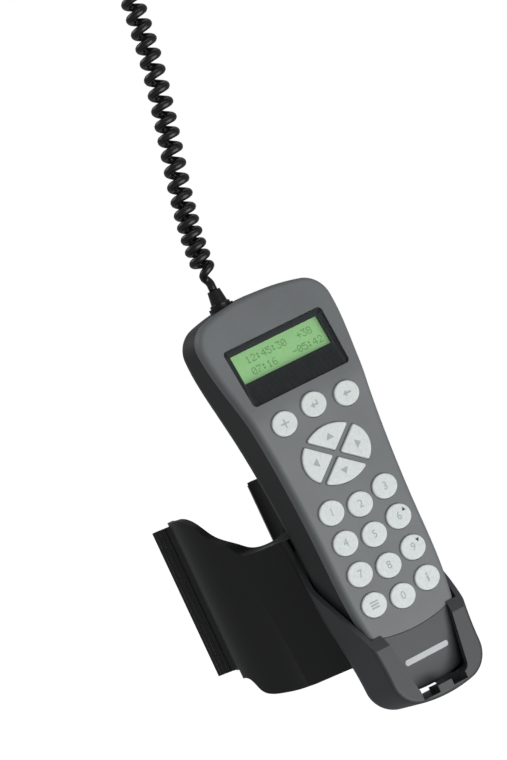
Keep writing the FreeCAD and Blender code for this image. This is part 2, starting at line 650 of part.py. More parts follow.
def make_cradle():
    """Cup that follows the case, with a sloping rim, two claws and a low lip. Under the controller's foot
    a drain channel runs from two mouths in the lip out through the back, and a T rail stands behind."""
    cup = cradle_form(FIT + CRADLE_WALL, 2.0, BACK_ROUND + 1.5, SUMP).cut(cradle_form(FIT, 0, BACK_ROUND))
    cup = cup.cut(rim_cut())
    notch = polygon([V(-14.0, -20, -0.8), V(14.0, -20, -0.8), V(20.6, -20, 40.0), V(-20.6, -20, 40.0)],
                    V(0, 24, 0))
    corners = [e for e in notch.Edges
               if abs(e.Vertexes[0].Y - e.Vertexes[-1].Y) > 20 and e.Vertexes[0].Z < 0]
    notch = notch.makeFillet(4.0, corners)
    mouths = [box(a, b, -20, 10, SLOT_LOW, SLOT_HIGH) for a, b in SLOTS]
    channel = box(SLOTS[0][0], SLOTS[1][1], POST_DEPTH, 60, SLOT_LOW, SLOT_HIGH)
    cup = cup.cut([notch, channel] + mouths)
    rail_high = CRADLE_TOP - 4.0
    head_y = RAIL_FACE + RAIL_NECK_D + 0.8
    neck = box(-RAIL_NECK_W / 2, RAIL_NECK_W / 2, RAIL_FACE - 2.8, head_y, RAIL_LOW, rail_high)
    neck = neck.cut(back_band(FIT + 0.3))
    head = box(-RAIL_HEAD_W / 2, RAIL_HEAD_W / 2, head_y, head_y + RAIL_HEAD_D, RAIL_LOW, rail_high)
    return fuse([cup, neck, head])


def scoop(points, sign):
    """What a sloping end of the clamp leaves open: everything above (sign 1) or below (sign -1) a curve
    through points in the side view, from the front of the clamp to behind its lips."""
    half = 80.0
    ends = [V(-half, y, z) for y, z in points]
    curve = Part.BSplineCurve()
    curve.interpolate(Points=ends, InitialTangent=V(0, 1, 0), FinalTangent=V(0, 1, 0))
    front = V(-half, -100.0, ends[0].z)
    back = V(-half, 60.0, ends[-1].z)
    far = [V(-half, 60.0, sign * 100.0), V(-half, -100.0, sign * 100.0)]
    chain = [front, ends[0]], [ends[-1], back], [back, far[0]], [far[0], far[1]], [far[1], front]
    return extrude([curve.toShape()] + [line(a, b) for a, b in chain], V(2 * half, 0, 0))


def make_web(low, high, face, back):
    """Block between the ring and the channel. Its left flank leaves the ring further round at the top
    than at the bottom, so that it meets the cradle's side there."""
    wires = []
    for z, front_left, ring_left in ((low, V(2.0, 0, 0), V(-13.5, -24.9, 0)),
                                     (high, V(-8.0, 0, 0), V(-23.4, -15.9, 0))):
        corners = [V(front_left.x, face, z), V(CTRL_X + 18.0, face, z), V(CTRL_X + 18.0, back + 3.0, z),
                   V(26.0, -10.0, z), V(0, 0, z), V(ring_left.x, ring_left.y, z),
                   V(front_left.x, back + 1.0, z)]
        wires.append(Part.makePolygon(corners + [corners[0]]))
    web = Part.makeLoft(wires, True, True)
    uprights = [e for e in web.Edges if e.Length > 50 and middle_of(e).y < back + 4.0]
    return web.makeFillet(2.0, uprights)


def make_lip(sign, low, high):
    """Flared end of the ring on one side, with finger grooves along its outer face."""
    wrap = math.radians(CLAMP_WRAP)
    start = V(sign * LEG_R * math.sin(wrap), -LEG_R * math.cos(wrap), low)
    out = V(sign * LIP_OUT[0], LIP_OUT[1], 0)
    side = V(sign * LIP_OUT[1], -LIP_OUT[0], 0)
    lip = polygon([start, start + out * LIP_LENGTH, start + out * LIP_LENGTH + side * CLAMP_WALL,
                   start + side * (CLAMP_WALL + 0.6) - out * 1.6], V(0, 0, high - low))
    tip = [e for e in lip.Edges if abs(e.Vertexes[0].Z - e.Vertexes[-1].Z) > 50
           and (e.Vertexes[0].Point - start).dot(out) > LIP_LENGTH - 1]
    lip = lip.makeFillet(1.2, tip)
    grooves = [rod(0.7, start + out * reach + side * (CLAMP_WALL + 0.35) - V(0, 0, 1), V(0, 0, 1), high - low + 2)
               for reach in (3.6, 5.8, 8.0, 10.2)]
    return lip.cut(grooves)


LIP_OUT = (0.425, 0.905)    # direction in which a lip flares
# side view of the clamp's ends, as depth behind the leg's axis and height: low in front, high at the lips
TOP_END = ((-28.4, 20.0), (-21.8, 26.0), (-15.7, 34.0), (-11.0, 42.0), (0.0, 47.9))
BOTTOM_END = ((-28.4, -48.0), (-18.0, -46.0), (-7.0, -41.0), (2.0, -33.0))
RIB, CORE = 1.6, 3.6        # ribs and the cored-out slots between them, inside the web


def make_leg_clamp():
    """Open C that snaps round the leg, with scooped ends, flared lips and, in front, the channel for the
    cradle's rail. The web that carries the channel is cored out from below between thin ribs."""
    low, high = -CLAMP_HALF, CLAMP_HALF
    face = CTRL_Y + CLAMP_FACE
    head_front = CTRL_Y + RAIL_FACE + RAIL_NECK_D + 0.8 - 0.4
    head_back = head_front + RAIL_HEAD_D + 0.8
    ring = rod(LEG_R + CLAMP_WALL, V(0, 0, low), V(0, 0, 1), high - low)
    body = ring.fuse(make_web(low, high, face, head_back)).removeSplitter()
    wrap = math.radians(CLAMP_WRAP)
    away = 60.0
    mouth = polygon([V(0, 0, low - 1), V(-away * math.sin(wrap), -away * math.cos(wrap), low - 1),
                     V(0, 3 * away, low - 1), V(away * math.sin(wrap), -away * math.cos(wrap), low - 1)],
                    V(0, 0, high - low + 2))
    body = fuse([body.cut(mouth)] + [make_lip(sign, low, high - 2.0) for sign in (-1, 1)])
    bore = rod(LEG_R, V(0, 0, low - 1), V(0, 0, 1), high - low + 2)
    neck_half = RAIL_NECK_W / 2 + RAIL_FIT
    head_half = RAIL_HEAD_W / 2 + RAIL_FIT
    stop = CTRL_Z + RAIL_LOW - 0.3
    channel = [box(CTRL_X - neck_half, CTRL_X + neck_half, face - 1, head_back, stop, high + 1),
               box(CTRL_X - head_half, CTRL_X + head_half, head_front, head_back, stop, high + 1)]
    room = polygon([V(6.0, head_back + 3.0, low - 1), V(34.6, head_back + 3.0, low - 1),
                    V(27.0, -20.0, low - 1), V(20.0, -25.5, low - 1), V(8.0, -32.0, low - 1),
                    V(0.0, -31.9, low - 1)], V(0, 0, TOP_END[0][1] - 3.0 - low))
    cores = [box(x, x + CORE, -60, 0, low - 2, high).common(room)
             for x in [RIB + (RIB + CORE) * i for i in range(6)]]
    lip_end = box(-80, 80, 4.0, 60, low - 1, LIP_LOW)
    return body.cut([bore, scoop(TOP_END, 1), scoop(BOTTOM_END, -1), lip_end] + channel + cores)


# ==== build =============================================================================================

def main():
    outer = case_form(0.0, FRONT_ROUND, BACK_ROUND)
    inner = case_form(-WALL, 0, BACK_ROUND - WALL)
    wall = outer.cut(inner)
    save("leg_clamp", make_leg_clamp())
    save("cradle", place(make_cradle()))
    save("front_shell", place(make_front_shell(wall, inner)))
    save("nose_cover", place(make_nose_cover(wall)))
    save("nose_badge", place(make_nose_badge()))
    save("back_shell", place(make_back_shell(wall, inner)))
    save("case_screws", place(make_case_screws()))
    for name, shape in make_display().items():
        save(name, place(shape))
    save("main_board", place(make_main_board()))
    save("keypad_mat", place(make_keypad_mat()))
    save("key_contacts", place(make_key_contacts()))
    save("board_chips", place(make_board_chips()))
    save("cord_header", place(make_cord_header()))
    save("lead_plug", place(make_lead_plug()))
    save("display_ribbon", place(make_display_ribbon()))
    save("board_screws", place(make_board_screws()))
    save("strain_relief", place(make_strain_relief()))
    save("inner_lead", place(make_inner_lead()))
    save("curly_cord", place(run_tube(CORD_ROUTE, CORD_OUTER_R, "curly cord")))
    for name, shape in make_plug_parts().items():
        save(name, place(shape))
    for name in key_names():
        save(name, place(make_key(name)))


if __name__ == "__main__":
    main()
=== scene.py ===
"""Looks of a telescope hand controller that stands in its cradle on a tripod leg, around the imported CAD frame."""

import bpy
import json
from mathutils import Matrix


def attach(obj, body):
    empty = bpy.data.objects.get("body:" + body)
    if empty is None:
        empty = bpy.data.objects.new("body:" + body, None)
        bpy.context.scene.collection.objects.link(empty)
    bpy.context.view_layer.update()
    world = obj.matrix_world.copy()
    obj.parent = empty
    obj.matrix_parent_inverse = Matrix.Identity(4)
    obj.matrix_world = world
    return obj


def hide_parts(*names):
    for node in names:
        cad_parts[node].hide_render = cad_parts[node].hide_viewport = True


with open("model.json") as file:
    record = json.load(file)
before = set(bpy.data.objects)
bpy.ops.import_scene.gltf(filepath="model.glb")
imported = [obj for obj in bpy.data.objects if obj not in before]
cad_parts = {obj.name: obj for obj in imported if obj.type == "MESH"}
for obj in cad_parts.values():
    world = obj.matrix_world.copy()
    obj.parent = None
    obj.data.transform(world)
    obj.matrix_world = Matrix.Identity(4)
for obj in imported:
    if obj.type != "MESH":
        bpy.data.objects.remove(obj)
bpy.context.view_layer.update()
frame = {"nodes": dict(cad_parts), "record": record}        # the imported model, in metres: the leg runs along Z, the keys face -Y

import json
import logging
import math
from dataclasses import dataclass, field
from enum import Enum
from typing import Any, ClassVar, Sequence

import bpy
import numpy as np
from mathutils import Matrix, Vector

LOG = logging.getLogger("hand_controller")
MM = 0.001
FOOT_MM = (20.0, -84.0, -68.0)   # the controller's foot, with the key face in front of it, in the row frame


# ==== small helpers =====================================================================================


def srgb(code: str, alpha: float = 1.0) -> tuple[float, float, float, float]:
    """Turns an sRGB hex value into a linear colour.

    Args:
        code: Six hex digits, such as "8A8C8E".
        alpha: Fourth channel.

    Returns:
        Red, green, blue and alpha for a Blender socket.
    """
    channels = [int(code[i : i + 2], 16) / 255 for i in (0, 2, 4)]
    linear = [c / 12.92 if c <= 0.04045 else ((c + 0.055) / 1.055) ** 2.4 for c in channels]
    return (*linear, alpha)


def add_node(tree: bpy.types.NodeTree, kind: str, settings: dict[str, Any] | None = None,
             links: dict[str, Any] | None = None) -> bpy.types.Node:
    """Adds one shader node.

    Args:
        tree: The material's node tree.
        kind: Blender's node type, such as "ShaderNodeTexNoise".
        settings: Values of the node's own properties and of its unlinked inputs.
        links: Output sockets of other nodes, by the name of the input that they feed.

    Returns:
        The new node.
    """
    node = tree.nodes.new(kind)
    for name, value in (settings or {}).items():
        if isinstance(name, int) or name in node.inputs:
            node.inputs[name].default_value = value
        else:
            setattr(node, name, value)
    for name, socket in (links or {}).items():
        tree.links.new(socket, node.inputs[name])
    return node


def new_material(name: str) -> tuple[bpy.types.Material, bpy.types.NodeTree, bpy.types.Node]:
    """Makes an empty node material.

    Args:
        name: The finish's name.

    Returns:
        The material, its tree and its output node.
    """
    material = bpy.data.materials.new(name)
    material.use_nodes = True
    tree = material.node_tree
    tree.nodes.clear()
    return material, tree, tree.nodes.new("ShaderNodeOutputMaterial")


def dress(piece: bpy.types.Object, material: bpy.types.Material) -> None:
    """Gives a piece, or a CAD node, one material in every slot."""
    if not piece.material_slots:
        piece.data.materials.append(material)
    for slot in piece.material_slots:
        slot.material = material


def mesh_piece(name: str, vertices: np.ndarray, faces: Sequence[Sequence[int]] | np.ndarray,
               smooth: bool = True) -> bpy.types.Object:
    """Puts computed vertices and faces into a new object at the origin.

    Args:
        name: The piece's name.
        vertices: N by 3 array in metres, in the row frame.
        faces: Vertex indices of each face, counter-clockwise seen from outside.
        smooth: Whether the faces are shaded smooth.

    Returns:
        The new object, linked to the scene.
    """
    mesh = bpy.data.meshes.new(name)
    mesh.from_pydata(np.asarray(vertices, float).tolist(), [], [np.asarray(face).tolist() for face in faces])
    mesh.polygons.foreach_set("use_smooth", [smooth] * len(mesh.polygons))
    mesh.update()
    piece = bpy.data.objects.new(name, mesh)
    bpy.context.scene.collection.objects.link(piece)
    return piece


def grid_faces(rows: int, columns: int) -> np.ndarray:
    """Quads of a grid of vertices whose second parameter closes on itself.

    Args:
        rows: Vertices along the first parameter.
        columns: Vertices round the second parameter.

    Returns:
        An array of vertex indices, four for each quad.
    """
    i, j = np.meshgrid(np.arange(rows - 1), np.arange(columns), indexing="ij")
    k = (j + 1) % columns
    quads = np.stack([i * columns + j, i * columns + k, (i + 1) * columns + k, (i + 1) * columns + j], axis=-1)
    return quads.reshape(-1, 4)


def along_path(points: np.ndarray) -> tuple[np.ndarray, np.ndarray, np.ndarray]:
    """Frames along a path that turn as little as they can.

    The tangent is the central difference. The first normal is any upright one, and each later normal
    is the one before it with its part along the new tangent taken out.

    Args:
        points: N by 3 array.

    Returns:
        Tangents, normals and binormals, each N by 3.
    """
    tangents = np.gradient(points, axis=0)
    tangents /= np.linalg.norm(tangents, axis=1)[:, None]
    normals = np.empty_like(tangents)
    seed = np.array([1.0, 0.0, 0.0]) if abs(tangents[0, 0]) < 0.9 else np.array([0.0, 1.0, 0.0])
    for row, tangent in enumerate(tangents):
        seed = seed - tangent * (seed @ tangent)
        seed /= np.linalg.norm(seed)
        normals[row] = seed
    return tangents, normals, np.cross(tangents, normals)


def tube_piece(name: str, centres: np.ndarray, radii: np.ndarray, sides: int) -> bpy.types.Object:
    """Closed round tube along a path: a circle carried along it, with a flat cap at each end.

    Args:
        name: The piece's name.
        centres: N by 3 array of centres.
        radii: N radii.
        sides: Vertices round the tube.

    Returns:
        The new object.
    """
    _, normals, binormals = along_path(centres)
    turn = np.linspace(0, 2 * math.pi, sides, endpoint=False)
    ring = np.cos(turn)[None, :, None] * normals[:, None] + np.sin(turn)[None, :, None] * binormals[:, None]
    vertices = (centres[:, None] + radii[:, None, None] * ring).reshape(-1, 3)
    near_cap, far_cap = np.arange(sides)[::-1], np.arange(sides) + (len(centres) - 1) * sides
    return mesh_piece(name, vertices, [*grid_faces(len(centres), sides), near_cap, far_cap])


# ==== finishes ==========================================================================================


@dataclass(frozen=True)
class MouldedPlastic:
    """ABS moulded in a spark-eroded tool: an even, fine grain that breaks up the highlight.

    The noise repeats over grit_mm, the spacing of the pits, a little coarser than the real 0.1 to 0.2 mm
    so that it shows.
    """

    name: str
    colour: str
    roughness: float = 0.5
    grit_mm: float = 0.45
    depth: float = 0.25
    mottle: float = 0.05
    drift_mm: float = 28.0      # size of the faint light and dark areas left by handling

    def material(self) -> bpy.types.Material:
        """Builds the material.

        Returns:
            A Principled shader whose colour drifts slightly and whose grain is a fine noise bump.
        """
        material, tree, out = new_material(self.name)
        place = add_node(tree, "ShaderNodeTexCoord").outputs["Object"]
        grain = add_node(tree, "ShaderNodeTexNoise", {"Scale": 1 / (self.grit_mm * MM), "Detail": 3.0,
                                                       "Roughness": 0.6}, {"Vector": place})
        drift = add_node(tree, "ShaderNodeTexNoise", {"Scale": 1 / (self.drift_mm * MM), "Detail": 2.0},
                         {"Vector": place})
        base = srgb(self.colour)
        dark = tuple(c * (1 - self.mottle * 2) for c in base[:3]) + (1.0,)
        light = tuple(min(1.0, c * (1 + self.mottle * 2)) for c in base[:3]) + (1.0,)
        blend = add_node(tree, "ShaderNodeMath", {"operation": "MULTIPLY_ADD", 1: 0.5, 2: 0.25})
        tree.links.new(grain.outputs["Fac"], blend.inputs[0])
        both = add_node(tree, "ShaderNodeMath", {"operation": "MULTIPLY_ADD", 1: 0.5})
        tree.links.new(drift.outputs["Fac"], both.inputs[0])
        tree.links.new(blend.outputs[0], both.inputs[2])
        ramp = add_node(tree, "ShaderNodeValToRGB", links={"Fac": both.outputs[0]})
        ramp.color_ramp.elements[0].position, ramp.color_ramp.elements[0].color = 0.40, dark
        ramp.color_ramp.elements[1].position, ramp.color_ramp.elements[1].color = 0.85, light
        bump = add_node(tree, "ShaderNodeBump", {"Strength": self.depth, "Distance": 0.08 * MM},
                        {"Height": grain.outputs["Fac"]})
        shader = add_node(tree, "ShaderNodeBsdfPrincipled",
                          {"Roughness": self.roughness, "IOR": 1.5},
                          {"Base Color": ramp.outputs["Color"], "Normal": bump.outputs["Normal"]})
        tree.links.new(shader.outputs["BSDF"], out.inputs["Surface"])
        return material


@dataclass(frozen=True)
class Silicone:
    """Translucent silicone rubber, moulded with a satin skin: light bleeds a little below the surface."""

    name: str
    colour: str
    roughness: float = 0.42
    bleed_mm: float = 1.2
    dust_mm: float = 1.1

    def material(self) -> bpy.types.Material:
        """Builds the material.

        Returns:
            A Principled shader with subsurface scattering and faint dust.
        """
        material, tree, out = new_material(self.name)
        place = add_node(tree, "ShaderNodeTexCoord").outputs["Object"]
        dust = add_node(tree, "ShaderNodeTexNoise", {"Scale": 1 / (self.dust_mm * MM), "Detail": 4.0},
                        {"Vector": place})
        base = srgb(self.colour)
        ramp = add_node(tree, "ShaderNodeValToRGB", links={"Fac": dust.outputs["Fac"]})
        ramp.color_ramp.elements[0].position, ramp.color_ramp.elements[1].position = 0.3, 0.62
        ramp.color_ramp.elements[0].color = tuple(c * 0.90 for c in base[:3]) + (1.0,)
        ramp.color_ramp.elements[1].color = base
        bump = add_node(tree, "ShaderNodeBump", {"Strength": 0.12, "Distance": 0.06 * MM},
                        {"Height": dust.outputs["Fac"]})
        shader = add_node(tree, "ShaderNodeBsdfPrincipled",
                          {"Roughness": self.roughness, "IOR": 1.41, "Subsurface Weight": 0.35,
                           "Subsurface Scale": self.bleed_mm * MM, "Subsurface Radius": (1.0, 1.0, 0.9)},
                          {"Base Color": ramp.outputs["Color"], "Normal": bump.outputs["Normal"]})
        tree.links.new(shader.outputs["BSDF"], out.inputs["Surface"])
        return material


@dataclass(frozen=True)
class Metal:
    """Plated or rolled metal with faint rolling marks along one axis."""

    name: str
    colour: str
    roughness: float = 0.3

    def material(self) -> bpy.types.Material:
        """Builds the material.

        Returns:
            A metallic Principled shader whose roughness is streaked.
        """
        material, tree, out = new_material(self.name)
        place = add_node(tree, "ShaderNodeTexCoord").outputs["Object"]
        squeeze = add_node(tree, "ShaderNodeMapping", {"Scale": (60.0, 1200.0, 1200.0)}, {"Vector": place})
        streak = add_node(tree, "ShaderNodeTexNoise", {"Scale": 4.0, "Detail": 2.0},
                          {"Vector": squeeze.outputs["Vector"]})
        rough = add_node(tree, "ShaderNodeMapRange",
                         {"To Min": self.roughness * 0.75, "To Max": self.roughness * 1.3},
                         {"Value": streak.outputs["Fac"]})
        shader = add_node(tree, "ShaderNodeBsdfPrincipled", {"Base Color": srgb(self.colour), "Metallic": 1.0},
                          {"Roughness": rough.outputs["Result"]})
        tree.links.new(shader.outputs["BSDF"], out.inputs["Surface"])
        return material


@dataclass(frozen=True)
class ClearAcrylic:
    """Flat cast acrylic pane: clear, glossy, and it lets light through to what is behind it."""

    name: str
    roughness: float = 0.04

    def material(self) -> bpy.types.Material:
        """Builds the material.

        Returns:
            A clear shader that turns to a sharp reflection at a grazing angle.
        """
        material, tree, out = new_material(self.name)
        clear = add_node(tree, "ShaderNodeBsdfTransparent", {"Color": (0.93, 0.95, 0.94, 1.0)})
        gloss = add_node(tree, "ShaderNodeBsdfGlossy", {"Roughness": self.roughness})
        edge = add_node(tree, "ShaderNodeLayerWeight", {"Blend": 0.1})      # both faces of the pane shine alike
        mix = tree.nodes.new("ShaderNodeMixShader")
        tree.links.new(edge.outputs["Facing"], mix.inputs[0])
        tree.links.new(clear.outputs["BSDF"], mix.inputs[1])
        tree.links.new(gloss.outputs["BSDF"], mix.inputs[2])
        tree.links.new(mix.outputs["Shader"], out.inputs["Surface"])
        return material


@dataclass(frozen=True)
class Print:
    """Silk-screened ink: flat, slightly uneven colour."""

    name: str
    colour: str
    roughness: float = 0.6
    glow: float = 0.0
    spread_mm: float = 2.5

    def material(self) -> bpy.types.Material:
        """Builds the material.

        Returns:
            A Principled shader whose colour varies by a few percent, and which may glow.
        """
        material, tree, out = new_material(self.name)
        place = add_node(tree, "ShaderNodeTexCoord").outputs["Object"]
        spread = add_node(tree, "ShaderNodeTexNoise", {"Scale": 1 / (self.spread_mm * MM), "Detail": 3.0},
                          {"Vector": place})
        base = srgb(self.colour)
        ramp = add_node(tree, "ShaderNodeValToRGB", links={"Fac": spread.outputs["Fac"]})
        ramp.color_ramp.elements[0].position, ramp.color_ramp.elements[1].position = 0.35, 0.7
        ramp.color_ramp.elements[0].color = tuple(c * 0.93 for c in base[:3]) + (1.0,)
        ramp.color_ramp.elements[1].color = base
        shader = add_node(tree, "ShaderNodeBsdfPrincipled",
                          {"Roughness": self.roughness, "Emission Color": base, "Emission Strength": self.glow},
                          {"Base Color": ramp.outputs["Color"]})
        tree.links.new(shader.outputs["BSDF"], out.inputs["Surface"])
        return material


# ==== the cord ==========================================================================================


@dataclass
class CurlyCord:
    """Curly cord held taut between the controller's head and its plug, just outside the view."""

    route_mm: Sequence[tuple[float, float, float]] = (
        (-10.0, 22.5, 207.5), (-10.0, 22.5, 226.0), (-5.2, 22.2, 252.0), (3.2, 21.3, 284.0),
        (10.4, 20.4, 315.0), (13.8, 19.8, 343.0), (17.6, 19.3, 369.5))
    foot_mm: tuple[float, float, float] = FOOT_MM
    wire_r: float = 2.0 * MM
    curl_r: float = 3.72 * MM
    tail: float = 10.0 * MM
    lead: float = 1.5 * MM
    rise: float = 12.0 * MM
    end_stretch: float = 2.2
    pitch_near: float = 5.2 * MM
    pitch_far: float = 7.4 * MM
    sides: int = 12
    steps_per_turn: int = 22
    opening: float = 0.45                                   # share of the cord over which the curls open
    wobbles: Sequence[tuple[float, float]] = ((0.05, 23.0), (0.03, 51.0))   # uneven pitch: share and waves
    line_steps: int = 400
    fine_steps: int = 4000

    def route(self) -> np.ndarray:
        """Reads the cord's centre line from a smooth spline through its route.

        Returns:
            N by 3 array, evenly spaced, from the strain relief to the end of the curls.
        """
        curve = bpy.data.curves.new("cord_route", "CURVE")
        curve.dimensions = "3D"
        curve.resolution_u = 48
        spline = curve.splines.new("NURBS")
        spline.points.add(len(self.route_mm) - 1)
        for point, place in zip(spline.points, self.route_mm):
            point.co = (*[(a + b) * MM for a, b in zip(place, self.foot_mm)], 1.0)
        spline.order_u = 3
        spline.use_endpoint_u = True
        guide = bpy.data.objects.new("cord_route", curve)
        bpy.context.scene.collection.objects.link(guide)
        bpy.context.view_layer.update()
        mesh = bpy.data.meshes.new_from_object(guide.evaluated_get(bpy.context.evaluated_depsgraph_get()))
        line = np.empty(len(mesh.vertices) * 3)
        mesh.vertices.foreach_get("co", line)
        line = line.reshape(-1, 3)
        bpy.data.objects.remove(guide)
        bpy.data.meshes.remove(mesh)
        steps = np.concatenate([[0.0], np.cumsum(np.linalg.norm(np.diff(line, axis=0), axis=1))])
        even = np.linspace(0, steps[-1], self.line_steps)
        return np.stack([np.interp(even, steps, line[:, axis]) for axis in range(3)], axis=1)

    def wire(self) -> np.ndarray:
        """Winds the wire round the centre line: a helix whose pitch opens away from the controller.

        The wire follows the line for a short lead. Its distance from the line then grows from nothing to
        curl_r while the pitch is long, and falls back in the same way, so no bend is tighter than the wire.

        Returns:
            M by 3 array of the wire's centres.
        """
        line = self.route()
        _, normals, binormals = along_path(line)
        steps = np.concatenate([[0.0], np.cumsum(np.linalg.norm(np.diff(line, axis=0), axis=1))])
        total = steps[-1]
        fine = np.linspace(0, total, self.fine_steps)
        share = np.clip(fine / (self.opening * total), 0, 1)
        pitch = self.pitch_near + (self.pitch_far - self.pitch_near) * share * share * (3 - 2 * share)
        pitch *= 1 + sum(depth * np.sin(fine / total * waves) for depth, waves in self.wobbles)
        near_end = np.clip((np.minimum(fine, total - fine) - self.lead) / self.rise, 0, 1)
        reach_fine = self.curl_r * near_end * near_end * (3 - 2 * near_end)
        pitch *= 1 + self.end_stretch * (1 - near_end)
        phase = np.concatenate([[0.0], np.cumsum(2 * math.pi / pitch[:-1] * np.diff(fine))])
        count = int(phase[-1] / (2 * math.pi) * self.steps_per_turn)
        wanted = np.linspace(0, phase[-1], count)
        place = np.interp(wanted, phase, fine)
        reach = np.interp(place, fine, reach_fine)
        centre, n, b = (np.stack([np.interp(place, steps, v[:, a]) for a in range(3)], axis=1)
                        for v in (line, normals, binormals))
        coil = centre + reach[:, None] * (np.cos(wanted)[:, None] * n + np.sin(wanted)[:, None] * b)
        ahead = line[-1] - line[-2]
        ahead /= np.linalg.norm(ahead)
        straight = coil[-1] + ahead * np.linspace(0, self.tail, 8)[1:, None]
        return np.concatenate([coil, straight])

    def build(self, finish: bpy.types.Material) -> None:
        wire = self.wire()
        cord = tube_piece("curly_cord_wire", wire, np.full(len(wire), self.wire_r), self.sides)
        dress(cord, finish)
        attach(cord, "controller")
        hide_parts("curly_cord", "cord_tail")


# ==== printed and small pieces ==========================================================================


def bar(x: float, z: float, wide: float, high: float) -> list[tuple[float, float]]:
    """Outline of a bar centred at x and z, counter-clockwise seen from the keys' side."""
    a, b = wide / 2, high / 2
    return [(x - a, z - b), (x + a, z - b), (x + a, z + b), (x - a, z + b)]


def prisms(name: str, outlines: Sequence[Sequence[tuple[float, float]]], y_mm: float,
           thick_mm: float) -> bpy.types.Object:
    """Thin raised shapes on a plane that faces the keys' side.

    Each outline is carried back along +Y by its thickness, and closed with a front and a back face.

    Args:
        name: The piece's name.
        outlines: Outlines in millimetres as x and z, counter-clockwise seen from -Y.
        y_mm: Place of the front faces.
        thick_mm: Thickness of the shapes.

    Returns:
        The new object.
    """
    vertices, faces, start = [], [], 0
    for outline in outlines:
        points, count = np.array(outline), len(outline)
        front = np.insert(points, 1, y_mm, axis=1)
        vertices += [front, front + (0.0, thick_mm, 0.0)]
        ring = np.arange(start, start + count)
        after = np.roll(ring, -1)
        faces += [ring, ring[::-1] + count, *np.column_stack([after, ring, ring + count, after + count])]
        start += 2 * count
    return mesh_piece(name, np.concatenate(vertices) * MM, faces, smooth=False)


def digit_piece(name: str, digit: str, x_mm: float, y_mm: float, z_mm: float, high_mm: float,
                thick_mm: float) -> bpy.types.Object:
    """One digit as a thin solid that faces the keys' side.

    Args:
        name: The piece's name.
        digit: The character.
        x_mm: Middle of the digit across.
        y_mm: Plane on which the digit lies.
        z_mm: Middle of the digit's height.
        high_mm: Height of the digit.
        thick_mm: How far it stands proud.

    Returns:
        The new object.
    """
    text = bpy.data.curves.new(name, "FONT")
    text.body, text.size, text.resolution_u = digit, high_mm * MM * 1.4, 4
    text.align_x, text.align_y = "CENTER", "CENTER"
    text.extrude = thick_mm / 2 * MM
    holder = bpy.data.objects.new(name + "_text", text)
    bpy.context.scene.collection.objects.link(holder)
    bpy.context.view_layer.update()
    mesh = bpy.data.meshes.new_from_object(holder)
    bpy.data.objects.remove(holder)
    stand = Matrix.Translation(Vector((x_mm, y_mm - thick_mm / 2, z_mm)) * MM)
    mesh.transform(stand @ Matrix.Rotation(math.pi / 2, 4, "X"))
    piece = bpy.data.objects.new(name, mesh)
    bpy.context.scene.collection.objects.link(piece)
    return piece


class Glyph(Enum):
    """Plain signs on the keys that have no digit, as outlines in millimetres round the key's middle."""

    UP = ([(-2.2, -1.3), (2.2, -1.3), (0.0, 1.7)],)
    DOWN = ([(0.0, -1.7), (2.2, 1.3), (-2.2, 1.3)],)
    LEFT = ([(-1.7, 0.0), (1.3, -2.2), (1.3, 2.2)],)
    RIGHT = ([(-1.3, -2.2), (1.7, 0.0), (-1.3, 2.2)],)
    CROSS = (bar(0.0, 0.0, 4.6, 0.7), bar(0.0, 1.35, 0.7, 1.9), bar(0.0, -1.35, 0.7, 1.9))
    ENTER = ([(-2.2, -0.4), (-0.4, -1.8), (-0.4, -0.8), (2.0, -0.8), (2.0, 1.6), (1.2, 1.6), (1.2, 0.0),
              (-0.4, 0.0), (-0.4, 1.0)],)
    BACK = ([(-2.3, 0.0), (-0.3, -1.6), (-0.3, -0.5), (2.2, -0.5), (2.2, 0.5), (-0.3, 0.5), (-0.3, 1.6)],)
    BARS = (bar(0.0, 1.4, 4.4, 0.7), bar(0.0, 0.0, 4.4, 0.7), bar(0.0, -1.4, 4.4, 0.7))
    POINT = (bar(0.0, -0.6, 0.9, 2.8), bar(0.0, 1.7, 0.9, 0.9))


